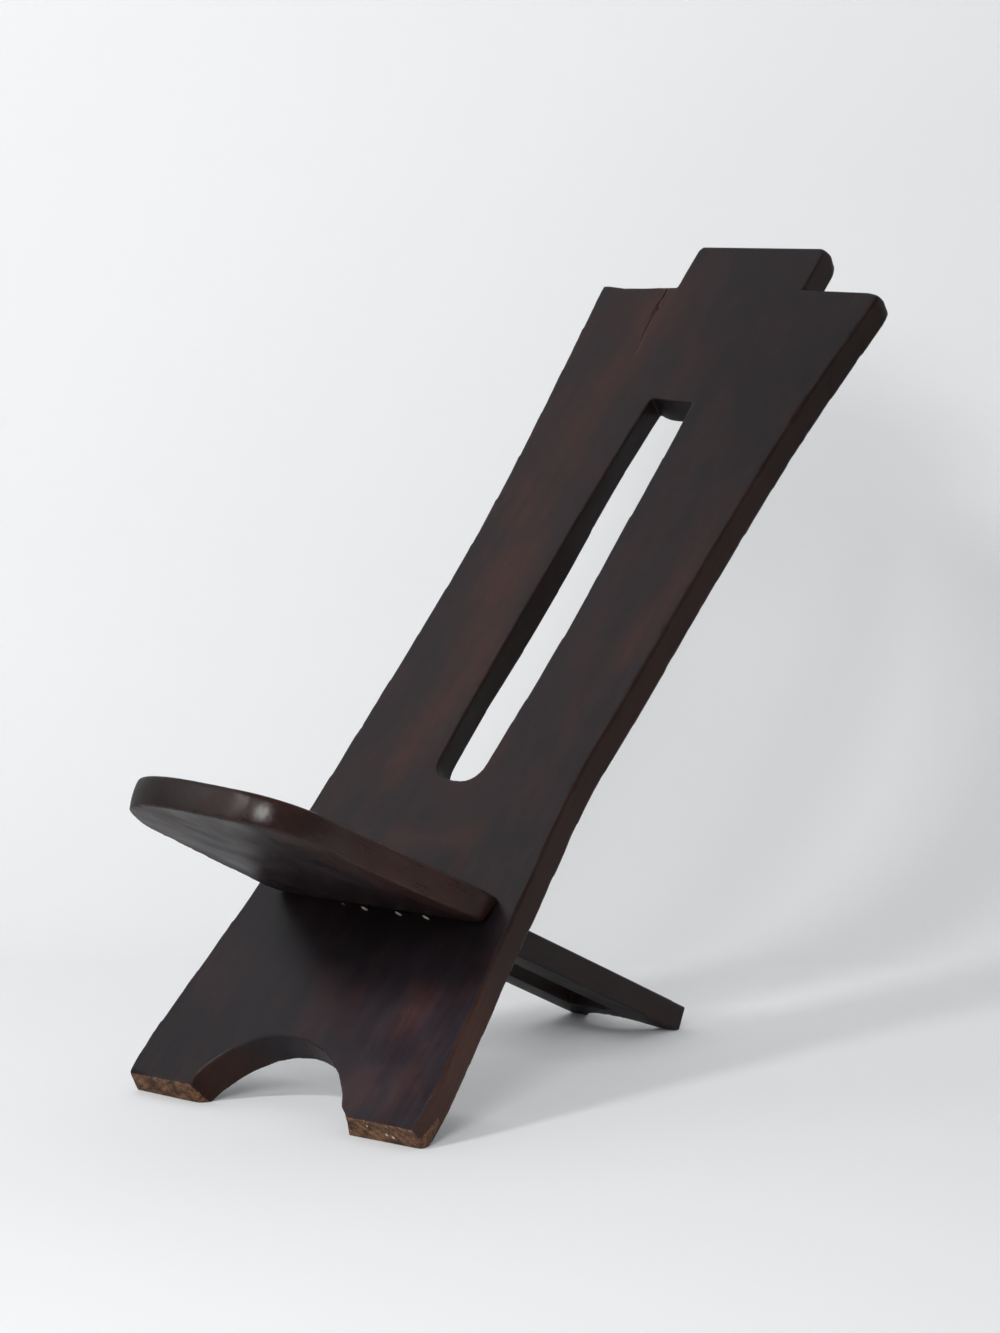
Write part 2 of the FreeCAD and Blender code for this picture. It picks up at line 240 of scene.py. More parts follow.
class ChairStage(bpy.types.PropertyGroup):
    """The studio around the chair."""

    paper: FloatVectorProperty(
        name="Paper", description="Colour of the floor and backdrop", subtype="COLOR", size=3,
        default=(0.815, 0.825, 0.84))
    # Painted light on the paper: paler higher up and to the left.
    painted_light_paper: FloatVectorProperty(
        name="High paper", description="Colour of the backdrop higher up", subtype="COLOR", size=3,
        default=(0.90, 0.91, 0.92))
    # The paper's glow is painted light that lifts its shadows, and the contact reach keeps a painted
    # contact shadow where something stands on it.
    contact: FloatProperty(
        name="Contact", description="Reach of the dark where something stands on the paper",
        default=0.07, unit="LENGTH")
    glow: FloatProperty(
        name="Glow", description="Share of plain white in the paper's own look",
        default=0.27, min=0, max=1)
    sky: FloatVectorProperty(
        name="Surround", description="Colour of the soft light all round", subtype="COLOR", size=3,
        default=(0.93, 0.96, 1.0))
    sky_strength: FloatProperty(
        name="Surround strength", description="Strength of the soft light all round", default=0.28)
    key_power: FloatProperty(
        name="Key light", description="Power of the lamp in front of the chair",
        default=28.5, unit="POWER")
    panel_power: FloatProperty(
        name="Panel", description="Power of the panel that gives the back its sheen",
        default=3.4, unit="POWER")
    front_power: FloatProperty(
        name="Front", description="Power of the lamp near the camera", default=24, unit="POWER")
    key_size: FloatProperty(
        name="Key size", description="Width of the key lamp", default=0.32, unit="LENGTH")
    focal_pixels: FloatProperty(
        name="Focal length", description="Focal length in pixels of the 1333-high frame",
        default=3787.83)
    camera_heading: FloatProperty(
        name="Heading", description="Camera's turn about the vertical",
        default=radians(39.3225), unit="ROTATION")
    camera_pitch: FloatProperty(
        name="Pitch", description="Camera's tilt below level", default=radians(7.272), unit="ROTATION")


def bell(distance, reach):
    """A smooth bump: 1 at no distance, near 0 past twice the reach."""
    return np.exp(-((distance / reach) ** 2))


def ramp(value, low, high):
    """A smooth step from 0 at low to 1 at high."""
    share = np.clip((value - low) / (high - low), 0, 1)
    return share * share * (3 - 2 * share)


def noise(points, lengths, seed):
    """Smooth noise from -1 to 1 at each point, with features of the given lengths along each axis."""
    table = np.random.default_rng(seed).uniform(-1, 1, NOISE_TABLE)
    cells = points / np.array(lengths) + seed
    base = np.floor(cells).astype(np.int64)
    part = cells - base
    part = part * part * (3 - 2 * part)
    total = np.zeros(len(points))
    for corner in itertools.product((0, 1), repeat=3):
        key = np.bitwise_xor.reduce((base + corner) * NOISE_PRIMES, axis=1) & (NOISE_TABLE - 1)
        total += np.prod(np.where(corner, part, 1 - part), axis=1) * table[key]
    return total


def off_path(points, path):
    """Distance of each point from a path in the plank's plane, and how far along it from 0 to 1."""
    stops = np.array(path, float) * MM
    runs = np.linalg.norm(np.diff(stops, axis=0), axis=1)
    before = np.concatenate([[0], np.cumsum(runs)])
    best = np.full(len(points), np.inf)
    along = np.zeros(len(points))
    flat = points[:, :2]
    for start, end, run, done in zip(stops, stops[1:], runs, before):
        share = np.clip((flat - start) @ (end - start) / run ** 2, 0, 1)
        distance = np.linalg.norm(flat - start - share[:, None] * (end - start), axis=1)
        nearer = distance < best
        best = np.where(nearer, distance, best)
        along = np.where(nearer, (done + share * run) / before[-1], along)
    return best, along


def off_cracks(points):
    """Distance of each point from the nearer of the two cracks."""
    return np.minimum(off_path(points, SHOULDER_CRACK)[0], off_path(points, SECOND_CRACK)[0])


def read_points(mesh):
    """A mesh's vertices as an array."""
    points = np.empty(len(mesh.vertices) * 3, np.float32)
    mesh.vertices.foreach_get("co", points)
    return points.reshape(-1, 3).astype(float)


def write_points(mesh, points):
    """Moves a mesh's vertices."""
    mesh.vertices.foreach_set("co", points.astype(np.float32).ravel())
    mesh.update()


def read_normals(mesh):
    """A mesh's vertex normals as an array."""
    normals = np.empty(len(mesh.vertices) * 3, np.float32)
    mesh.vertex_normals.foreach_get("vector", normals)
    return normals.reshape(-1, 3).astype(float)


def store(mesh, name, values):
    """Keeps a value per vertex on the mesh, for its material."""
    attribute = mesh.attributes.new(name, "FLOAT", "POINT")
    attribute.data.foreach_set("value", values.astype(np.float32))


def edge_ends(mesh):
    """The two vertices of every edge."""
    ends = np.empty(len(mesh.edges) * 2, np.int32)
    mesh.edges.foreach_get("vertices", ends)
    return ends.reshape(-1, 2).T


def neighbour_sum(ends, values):
    """The sum of the values at each vertex's neighbours."""
    first, second = ends
    count = len(values)
    return np.bincount(first, values[second], count) + np.bincount(second, values[first], count)


def sharpness(mesh, points):
    """How strongly the surface turns outwards at each vertex, spread a little to its neighbours."""
    ends = edge_ends(mesh)
    first, second = ends
    normals = read_normals(mesh)
    apart = points[second] - points[first]
    turn = np.einsum("ij,ij->i", normals[second] - normals[first], apart)
    turn /= np.maximum(np.linalg.norm(apart, axis=1), 1e-9)
    count = np.bincount(ends.ravel(), minlength=len(points))
    value = (np.bincount(first, turn, len(points)) + np.bincount(second, turn, len(points))) / count
    for _ in range(2):
        value = (value + neighbour_sum(ends, value) / count) / 2
    return value


def edgewise(normals):
    """How far each vertex faces along the plank's plane, as its sides and its walls do."""
    return ramp(np.hypot(normals[:, 0], normals[:, 1]), 0.35, 0.8)


def plank_frame(node, run):
    """A plank's own frame: Y along run, Z through the plank, and its origin at their lowest ends."""
    side = Vector((1, 0, 0))
    turn = Matrix((side, run, side.cross(run))).transposed()
    low = (read_points(frame["nodes"][node].data) @ np.array(turn)).min(0)
    return Matrix.Translation(turn @ Vector((0, low[1], low[2]))) @ turn.to_4x4()


def back_run():
    """The direction up the back plank, from the facing of its largest flat face."""
    faces = frame["nodes"][BACK].data.polygons
    up = max((face for face in faces if face.normal.z > 0), key=lambda face: face.area).normal
    return up.cross(Vector((1, 0, 0))).normalized()


def with_modifier(mesh, kind, **settings):
    """The mesh after one modifier."""
    piece = bpy.data.objects.new("working_copy", mesh)
    bpy.context.scene.collection.objects.link(piece)
    modifier = piece.modifiers.new("step", kind)
    for name, value in settings.items():
        setattr(modifier, name, value)
    seen = piece.evaluated_get(bpy.context.evaluated_depsgraph_get())
    result = bpy.data.meshes.new_from_object(seen)
    bpy.data.objects.remove(piece)
    return result


def dense_copy(node, place, carving):
    """An even, dense copy of a CAD node's mesh in the plank's own frame."""
    mesh = frame["nodes"][node].data.copy()
    mesh.transform(place.inverted())
    mesh.materials.clear()
    size = carving.voxel
    return with_modifier(mesh, "REMESH", mode="VOXEL", voxel_size=size, use_smooth_shade=True)


def refine(mesh, chosen, cuts):
    """Divides the edges between chosen vertices, for detail finer than the mesh."""
    shape = bmesh.new()
    shape.from_mesh(mesh)
    edges = [edge for edge in shape.edges if all(chosen[end.index] for end in edge.verts)]
    bmesh.ops.subdivide_edges(shape, edges=edges, cuts=cuts, use_grid_fill=True)
    shape.to_mesh(mesh)
    shape.free()
    return read_points(mesh)


def hew(mesh, points, carving, seed, spared):
    """Cuts shallow tool marks into the faces and nicks into the worn edges. All of it goes inwards."""
    normals = read_normals(mesh)
    worn = np.clip(sharpness(mesh, points) * 3, 0, 1)
    marks = 0.5 + 0.5 * noise(points, (34 * MM, 120 * MM, 40 * MM), seed)
    ripples = 0.5 + 0.5 * noise(points, (13 * MM, 60 * MM, 15 * MM), seed + 1)
    fibres = 0.5 + 0.5 * noise(points, (4 * MM, 45 * MM, 4 * MM), seed + 2)
    nicks = ramp(noise(points, (9 * MM, 15 * MM, 9 * MM), seed + 3), 0.25, 0.9)
    dents = ramp(noise(points, (6 * MM, 7 * MM, 8 * MM), seed + 4), 0.72, 1)
    depth = carving.hewn_depth * (0.62 * marks + 0.28 * ripples + 0.1 * fibres + 0.5 * dents)
    depth += carving.nick_depth * worn * (0.25 * ripples + 0.75 * nicks)
    return points - normals * (depth * (1 - spared))[:, None]


def thinned(mesh, carving):
    """The mesh with no more triangles than it may keep."""
    triangles = sum(face.loop_total - 2 for face in mesh.polygons)
    if triangles <= carving.most_triangles:
        return mesh
    return with_modifier(mesh, "DECIMATE", ratio=carving.most_triangles / triangles)


def crack(points, path, width, depth):
    """Opens a V-shaped crack down the front face from the path's start."""
    distance, along = off_path(points, path)
    half = width * (1 - along) ** 0.6 / 2 + 0.05 * MM
    open_share = np.clip(1 - distance / half, 0, 1)
    on_face = points[:, 2] > BACK_THICKNESS - 1.2 * MM
    points[:, 2] -= np.where(on_face, open_share * depth * (1 - 0.75 * along), 0)
    return points


def tighten(mesh, most):
    """Fills out the rounding of the long edges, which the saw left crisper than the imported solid's."""
    points, normals = read_points(mesh), read_normals(mesh)
    slant = 2 * np.abs(normals[:, 2]) * np.hypot(normals[:, 0], normals[:, 1])
    write_points(mesh, points + normals * (most * slant ** 2)[:, None])


def wear_down(mesh, points, weight, rounds):
    """Rounds the surface where the weight is above nothing, as years of handling do."""
    ends = edge_ends(mesh)
    count = np.bincount(ends.ravel(), minlength=len(points))[:, None]
    for _ in range(rounds):
        total = np.stack([neighbour_sum(ends, points[:, axis]) for axis in range(3)], axis=1)
        points = points + (total / count - points) * weight[:, None] / 2
    return points


def near_corners(points, corners):
    """How near each point is to the closest of the worn corners, from 0 to 1."""
    nearest = np.zeros(len(points))
    for *corner, reach in corners:
        distance = np.linalg.norm(points - np.array(corner) * MM, axis=1)
        nearest = np.maximum(nearest, bell(distance, reach * MM))
    return nearest


def swells(height, table):
    """How far a side stands out at each height."""
    return sum(out * MM * bell(height - middle * MM, reach * MM) for middle, reach, out in table)


def shape_slot(points, across, height, rear):
    """Opens the slot's left wall to the rear, straightens its right wall and sets its two ends."""
    inside = ramp(height, SLOT_BOTTOM + 4 * MM, SLOT_BOTTOM + 32 * MM)
    inside *= ramp(-height, -SLOT_TOP - SLOT_FADE, -SLOT_TOP)
    left_wall = bell(across + SLOT_HALF_WIDTH, SLOT_FADE) * (across < 0)
    right_wall = bell(across - SLOT_HALF_WIDTH, SLOT_FADE) * (across > 0)
    flare = 4.5 * MM * ramp(np.abs(height - SLOT_NARROW), 20 * MM, 150 * MM)
    straighten = 0.8 * MM + 2.6 * MM * ramp(height, 480 * MM, 600 * MM)
    points[:, 0] -= (flare * rear * left_wall + straighten * right_wall) * inside
    front_rise = -1.6 * MM - 0.08 * across
    rear_rise = -3.6 * MM + 11 * MM * bell(across + 33 * MM, 13 * MM)
    at_top = bell(height - SLOT_TOP, SLOT_FADE) * bell(across, 45 * MM)
    points[:, 1] += at_top * (rear * rear_rise + (1 - rear) * front_rise)
    at_bottom = bell(height - SLOT_BOTTOM, SLOT_FADE) * bell(across + 1.5 * MM, 16 * MM)
    points[:, 1] += 3.9 * MM * at_bottom


def shape_shoulders(points, across, height, rear):
    """Makes the left shoulder a little hollow and the right one slope to its tip."""
    hollow = ramp(-across, SHOULDER_INNER, 108 * MM) * ramp(across, -SHOULDER_OUTER, -124 * MM)
    slope = ramp(across, SHOULDER_INNER, SHOULDER_OUTER)
    drop = np.where(across < 0, 2.2 * MM * hollow, 0.2 * MM + 1.2 * MM * slope * (1 - rear))
    at_shoulder = ramp(height, SHOULDER_HEIGHT - 30 * MM, SHOULDER_HEIGHT - 4 * MM)
    at_shoulder *= np.abs(across) > SHOULDER_INNER
    points[:, 1] -= drop * at_shoulder


def shape_arch(points, across, height, rear):
    """Skews the arch between the feet, and leaves shallow chisel facets round its wall."""
    rise = height - ARCH_CENTRE
    reach = np.hypot(across, rise)
    turn = np.arctan2(across, rise)
    front_shift = (-0.4 * MM - 4.7 * MM * np.sin(1.6 * turn)) * ramp(height, 0, 12 * MM)
    rear_shift = -2.8 * MM - 2.5 * MM * ramp(np.abs(turn), radians(5), radians(50))
    uneven = noise(points, (40 * MM, 40 * MM, 60 * MM), ARCH_SEED)
    off_wall = reach - ARCH_RADIUS
    facet = 0.45 * MM * (1 - np.abs(np.sin(turn * 9 + 4 * uneven))) * bell(off_wall, 3 * MM)
    shift = (rear * rear_shift + (1 - rear) * front_shift) * bell(off_wall, ARCH_FADE) + facet
    points[:, 0] += across / reach * shift
    points[:, 1] += rise / reach * shift


def splintered(points):
    """How far each point of the back plank's front belongs to a splinter, from 0 to 1."""
    across, height, depth = points.T
    share = np.zeros(len(points))
    for x, y, lift in SPLINTERS:
        lean = height - y * MM + SPLINTER_LEAN * (across - x * MM)
        spot = np.hypot((across - x * MM) / SPLINTER_STRETCH, lean)
        on_face = depth > BACK_THICKNESS - 3 * MM
        share = np.maximum(share, lift * bell(spot, SPLINTER_SIZE) * on_face)
    return share


def carve_back(mesh, carving):
    """Gives the back plank its hand-cut shape."""
    tighten(mesh, carving.crisp)
    points = read_points(mesh)
    across, height, depth = points.T.copy()
    rear = np.clip(1 - depth / BACK_THICKNESS, 0, 1)
    uneven = noise(points * (0, 1, 0) + (0, 0, 1), (1, 70 * MM, 1), SIDE_SEED)
    stand_out = np.where(across > 0, swells(height, RIGHT_SWELLS), swells(height, LEFT_SWELLS))
    stand_out = stand_out + carving.edge_wander * uneven + FULLER_SIDES
    sides = np.abs(across) + stand_out * ramp(np.abs(across), SIDE_INNER, SIDE_OUTER)
    at_crest = ramp(height, SHOULDER_HEIGHT, SHOULDER_HEIGHT + 4 * MM)
    sides += FULLER_CREST * ramp(across, 30 * MM, 66 * MM) * at_crest
    points[:, 0] = np.sign(across) * np.minimum(sides, HALF_SPAN)
    shape_slot(points, across, height, rear)
    shape_shoulders(points, across, height, rear)
    shape_arch(points, across, height, rear)
    points[:, 1] -= TOE_REACH * ramp(-height, -12 * MM, 0) * bell(depth - 8 * MM, 9 * MM)
    points[:, 1] += CREST_RISE * ramp(height, 900 * MM, BACK_LENGTH)
    points = wear_down(mesh, points, near_corners(points, BACK_CORNERS), BACK_WEAR_ROUNDS)
    write_points(mesh, points)
    fine = off_cracks(points) < 2.5 * MM
    fine |= (np.abs(points[:, :2] - SPLINTER_MIDDLE) < SPLINTER_REACH).all(axis=1)
    points = refine(mesh, fine & (points[:, 2] > 2 * MM), 3)
    in_mortise = ((np.abs(points[:, 0]) < MORTISE_HALF_WIDTH) & (points[:, 1] > MORTISE_LOW)
                  & (points[:, 1] < MORTISE_HIGH))
    spared = np.maximum(in_mortise, ramp(-points[:, 1], -4 * MM, 0))
    points = hew(mesh, points, carving, BACK_SEED, spared)
    points = crack(points, SHOULDER_CRACK, carving.crack_width, carving.crack_depth)
    points = crack(points, SECOND_CRACK, 0.7 * carving.crack_width, 0.5 * carving.crack_depth)
    points[:, 2] += SPLINTER_LIFT * splintered(points)
    write_points(mesh, points)


def mark_back(mesh):
    """Keeps where the back plank is worn, warm, bare or sawn, and its painted light and shade,
    for its material.
    """
    points = read_points(mesh)
    across, height, depth = points.T
    normals = read_normals(mesh)
    cracks = off_cracks(points)
    # The crack's lips are made paler, and are kept with the worn edges.
    lips = 0.9 * bell(cracks - 1.1 * MM, 0.7 * MM) * (depth > BACK_THICKNESS - 2 * MM)
    store(mesh, "worn", np.clip(sharpness(mesh, points) * 1.4 + lips, 0, 1))
    store(mesh, "side", ramp(np.abs(normals[:, 0]), 0.35, 0.8))
    streak, down = off_path(points, RED_STREAK)
    warm = (0.6 * bell(streak, 17 * MM) + 0.25 * bell(streak, 40 * MM)) * (1 - 0.35 * down)
    warm += 0.6 * bell(off_path(points, RED_STILE)[0], 24 * MM) + 0.5 * bell(cracks - 1.3 * MM, 1.3 * MM)
    for patch in RED_PATCHES:
        warm += 0.6 * bell(off_path(points, patch)[0], 16 * MM)
    # Painted sheen: the stain turns less red towards the feet, standing in for the neutral sheen low on
    # the back.
    warm -= 0.26 * ramp(-height, -340 * MM, -180 * MM)
    store(mesh, "warm", np.clip(warm, -0.4, 1))
    bare = 0.85 * ramp(-height, -2.4 * MM, 0.2 * MM)
    for y, z, half in BARE_CORNER:
        spot = np.hypot((height - y * MM) / 2, depth - z * MM)
        bare = np.maximum(bare, 1.1 * bell(spot, half * MM) * (across > 140 * MM))
    store(mesh, "bare", np.clip(bare, 0, 1))
    chips = splintered(points)
    for x, z, reach in END_CHIPS:
        spot = np.hypot(across - x * MM, depth - z * MM)
        on_end = (normals[:, 1] < -0.4) * (height < 2 * MM)
        chips = np.maximum(chips, bell(spot, reach * MM) * on_end)
    store(mesh, "chip", chips)
    # Painted light and shade: the seat's shadow below it, more light low on the right, less towards the
    # top right.
    tone_and_painted_light = np.zeros(len(points))
    for x, y, reach, share in PAINTED_LIGHT_AND_SHADE:
        tone_and_painted_light += share * bell(np.hypot(across - x * MM, height - y * MM), reach * MM)
    # Painted shade in the recesses: the walls of the slot and of the arch are darker.
    wall = edgewise(normals)
    in_slot = (np.abs(across) < 40 * MM) & (height > SLOT_BOTTOM - 8 * MM) & (height < SLOT_TOP + 8 * MM)
    in_arch = np.hypot(across, height - ARCH_CENTRE) < ARCH_RADIUS + 6 * MM
    store(mesh, "tone_and_painted_light", np.clip(tone_and_painted_light - wall * (0.55 * in_slot + 0.15 * in_arch), -0.85, 1.6))
    store(mesh, "dull", wall * (0.6 * in_slot + 0.3 * in_arch))


def carve_seat(mesh, carving):
    """Gives the seat plank its hand-cut shape."""
    tighten(mesh, 0.5 * carving.crisp)
    points = read_points(mesh)
    across, along, thick = points.T.copy()
    back_off = along - NOSE_CENTRE
    turn = np.degrees(np.arctan2(across, -back_off))
    radius = np.maximum(np.hypot(across, back_off), MM)
    turns, shifts = zip(*NOSE_OUTLINE)
    fuller = sum(np.interp(turn + step, turns, shifts) for step in NOSE_BLUR) / len(NOSE_BLUR) * MM
    crown = -NOSE_CROWN * (2 * thick / BOARD_THICKNESS - 1) ** 2
    uneven = noise(points * (1, 1, 0) + (0, 0, 1), (50 * MM, 50 * MM, 1), NOSE_SEED)
    wander = carving.edge_wander * (uneven - 0.7) / 2
    push = fuller * ramp(radius, NOSE_INNER, NOSE_OUTER)
    push += (wander + crown) * ramp(radius, 75 * MM, NOSE_OUTER)
    push = push / radius * ramp(-back_off, -60 * MM, 40 * MM)
    points[:, 0] += across * push
    points[:, 1] += back_off * push
    corner = ramp(along, 180 * MM, 262 * MM) * (along < TAIL_START + 1 * MM)
    points[:, 0] += CORNER_OUT * corner * ramp(across, 90 * MM, 110 * MM)
    points[:, 1] -= CORNER_FORWARD * corner * ramp(np.abs(across), 103 * MM, 113 * MM) ** 2
    points = wear_down(mesh, points, near_corners(points, SEAT_CORNERS), SEAT_WEAR_ROUNDS)
    write_points(mesh, points)
    points = refine(mesh, (off_path(points, SCRATCH)[0] < 3 * MM) & (points[:, 2] < 3 * MM), 2)
    front = ramp(-points[:, 1], -200 * MM, -120 * MM) * (read_normals(mesh)[:, 2] < -0.5)
    spared = 0.75 * ramp(points[:, 1], TAIL_START - 8 * MM, TAIL_START) - 1.2 * front
    points = hew(mesh, points, carving, SEAT_SEED, spared)
    scratch, share = off_path(points, SCRATCH)
    groove = np.clip(1 - scratch / (0.7 * MM), 0, 1) * np.sin(pi * share)
    points[:, 2] += np.where(points[:, 2] < 2 * MM, 0.4 * MM * groove, 0)
    write_points(mesh, points)


def mark_seat(mesh):
    """Keeps where the seat plank is worn, warm, bare or dull, and the light and shade painted on its
    rim, for its material.
    """
    points = read_points(mesh)
    across, along, height = points.T
    normals = read_normals(mesh)
    store(mesh, "worn", np.clip(sharpness(mesh, points) * 1.4, 0, 1))
    store(mesh, "side", 0.5 * edgewise(normals))
    store(mesh, "warm", 1.1 * bell(along - 165 * MM, 95 * MM) * ramp(across, 60 * MM, 95 * MM))
    scratch, share = off_path(points, SCRATCH)
    light = np.clip(1 - scratch / MM, 0, 1) * np.sqrt(np.sin(pi * share)) * (height < 2 * MM)
    store(mesh, "bare", 0.8 * light)
    rim = edgewise(normals) * (along < TAIL_START)
    turn = np.degrees(np.arctan2(across, NOSE_CENTRE - along))
    # Painted light and shade on the rim: lighter on its right, darker on its left and round its middle,
    # over a rim a little darker all round.
    right = ramp(across, 70 * MM, 96 * MM) * (1 - 0.8 * ramp(along, 190 * MM, 262 * MM))
    left = 0.4 * ramp(-across, -70 * MM, 30 * MM) + 0.2 * bell(turn - 66, 14)
    store(mesh, "tone_and_painted_light", rim * (0.42 * right - 0.12 - left))
    under = ramp(-normals[:, 2], 0.5, 0.9)
    blotch = 0.5 + 0.5 * noise(points, (26 * MM, 40 * MM, 40 * MM), BLOTCH_SEED)
    flank = 0.3 + 0.9 * ramp(turn, -85, -50) - 1.2 * ramp(turn, 27, 43) + 0.35 * ramp(turn, 56, 76)
    tail = ramp(along, TAIL_START - 40 * MM, TAIL_START + 20 * MM)
    dull = np.maximum(under * (0.55 + 0.6 * blotch), rim * flank)
    store(mesh, "dull", np.maximum(dull, tail))
    store(mesh, "strokes", under * ramp(-along, -170 * MM, -60 * MM))


class NodeWeb:
    """A material's nodes, made and joined one at a time."""

    def __init__(self, name):
        self.material = bpy.data.materials.new(name)
        self.material.use_nodes = True
        self.tree = self.material.node_tree
        self.shader = self.tree.nodes["Principled BSDF"]

    def node(self, kind, inputs=(), **settings):
        """Adds a node, sets it up and feeds its inputs with values or with other nodes' outputs."""
        made = self.tree.nodes.new(kind)
        for name, value in settings.items():
            setattr(made, name, value)
        for socket, value in dict(inputs).items():
            self.feed(made.inputs[socket], value)
        return made

    def feed(self, socket, value):
        """Joins an output to a socket, or sets the socket's own value."""
        if isinstance(value, bpy.types.NodeSocket):
            self.tree.links.new(value, socket)
        else:
            socket.default_value = value

    def math(self, operation, *values, clamp=False):
        """The result of a sum on numbers or outputs."""
        inputs = dict(enumerate(values))
        return self.node("ShaderNodeMath", inputs, operation=operation, use_clamp=clamp).outputs[0]

    def mix(self, factor, first, second, blend="MIX"):
        """One colour blended over another."""
        inputs = {"Factor": factor, 6: first, 7: second}
        return self.node("ShaderNodeMix", inputs, data_type="RGBA", blend_type=blend).outputs[2]

    def spread(self, value, low, high, to_low=0.0, to_high=1.0):
        """A value taken from one range to another, and held there."""
        inputs = {"Value": value, "From Min": low, "From Max": high, "To Min": to_low, "To Max": to_high}
        return self.node("ShaderNodeMapRange", inputs, interpolation_type="SMOOTHSTEP").outputs[0]

    def attribute(self, name):
        """A value kept on the mesh."""
        return self.node("ShaderNodeAttribute", attribute_name=name).outputs["Fac"]

    def noise(self, coordinates, scale, detail=2.0, rough=0.5, distortion=0.0):
        """Noise with the given number of features to the metre along each axis."""
        scaled = self.node("ShaderNodeMapping", {"Vector": coordinates, "Scale": scale}).outputs[0]
        inputs = {"Vector": scaled, "Scale": 1.0, "Detail": detail,
                  "Roughness": rough, "Distortion": distortion}
        return self.node("ShaderNodeTexNoise", inputs).outputs["Fac"]


def colour(values):
    """A colour setting with its alpha."""
    return (*values, 1.0)


def plank_coordinates(web, plank):
    """Places in the plank's own frame, from the piece's own coordinates in the row frame."""
    shift, turn, _ = plank.inverted().decompose()
    seen = web.node("ShaderNodeTexCoord").outputs["Object"]
    inputs = {"Vector": seen, "Location": shift, "Rotation": turn.to_euler()}
    return web.node("ShaderNodeMapping", inputs).outputs[0]


def growth_rings(web, place, heart):
    """Rings about a heart line outside the plank, drawn out and bent by slow noise."""
    bend = web.math("MULTIPLY", web.noise(place, (5, 1.1, 5), detail=1), 0.10)
    parts = web.node("ShaderNodeSeparateXYZ", {"Vector": place})
    off_x = web.math("ADD", web.math("SUBTRACT", parts.outputs[0], heart[0]), bend)
    off_z = web.math("SUBTRACT", parts.outputs[2], heart[1])
    squares = web.math("ADD", web.math("POWER", off_x, 2), web.math("POWER", off_z, 2))
    ring = web.math("SINE", web.math("MULTIPLY", web.math("SQRT", squares), 2 * pi / RING_WIDTH))
    return web.spread(ring, -0.4, 1.0)


